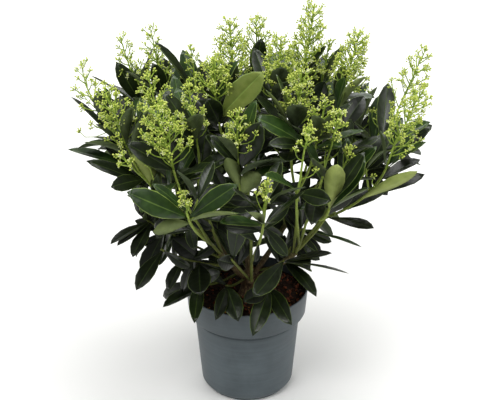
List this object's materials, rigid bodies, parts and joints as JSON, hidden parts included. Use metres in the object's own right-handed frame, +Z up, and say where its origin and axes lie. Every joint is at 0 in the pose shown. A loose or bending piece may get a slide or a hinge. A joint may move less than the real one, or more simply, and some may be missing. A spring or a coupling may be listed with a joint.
{
  "type": "potted skimmia shrub",
  "caption": "Evergreen skimmia shrub in flower, in a round plastic nursery pot: stems fork from a short root stock into boughs with masses of glossy leaves and upright flower heads.",
  "frame": {"origin": "middle of the pot's flat underside, on the surface it stands on", "axes": "+Z up, -Y to the front, +X to the right seen from the front"},
  "size_m": [0.636, 0.6433, 0.6976],
  "materials": {
    "pot_plastic": "injection-moulded blue-grey polypropylene, matt",
    "peat": "moist dark peat with bark crumbs",
    "bark": "thin grey-brown bark, green where young",
    "green_wood": "smooth green young wood",
    "foliage": "leathery leaves with a glossy upper side, and yellow-green flower heads"
  },
  "bodies": {
    "root": {"pot": "pot_plastic", "soil": "peat", "root_stock": "bark", "stem_front_left": "bark", "stem_front_right": "bark", "stem_front": "bark", "stem_back_left": "bark", "stem_back_right": "bark", "stem_back": "bark", "stem_middle": "bark", "bough_left": "green_wood", "bough_front_left": "green_wood", "bough_inner_left": "green_wood", "bough_front": "green_wood", "bough_front_right": "green_wood", "bough_inner_right": "green_wood", "bough_right_front": "green_wood", "bough_right": "green_wood", "bough_inner_back_right": "green_wood", "bough_top_right": "green_wood", "bough_right_back": "green_wood", "bough_middle": "green_wood", "bough_inner_back": "green_wood", "bough_back_left": "green_wood", "bough_back_far_left": "green_wood", "bough_back": "green_wood", "bough_back_far_right": "green_wood", "mass_left": "foliage", "mass_front_left": "foliage", "mass_inner_left": "foliage", "mass_front": "foliage", "mass_front_right": "foliage", "mass_inner_right": "foliage", "mass_right_front": "foliage", "mass_right": "foliage", "mass_inner_back_right": "foliage", "mass_top_right": "foliage", "mass_right_back": "foliage", "mass_middle": "foliage", "mass_inner_back": "foliage", "mass_back_left": "foliage", "mass_back_far_left": "foliage", "mass_back": "foliage", "mass_back_far_right": "foliage", "mass_low_left": "foliage", "mass_low_front_left": "foliage", "mass_low_front": "foliage", "mass_low_front_right": "foliage", "mass_low_right": "foliage", "mass_low_back_left": "foliage", "mass_low_back_right": "foliage", "mass_low_back": "foliage", "mass_rim_left": "foliage", "mass_rim_front_left": "foliage", "mass_rim_front_right": "foliage", "mass_rim_right": "foliage", "mass_rim_back": "foliage"}
  },
  "joints": []
}
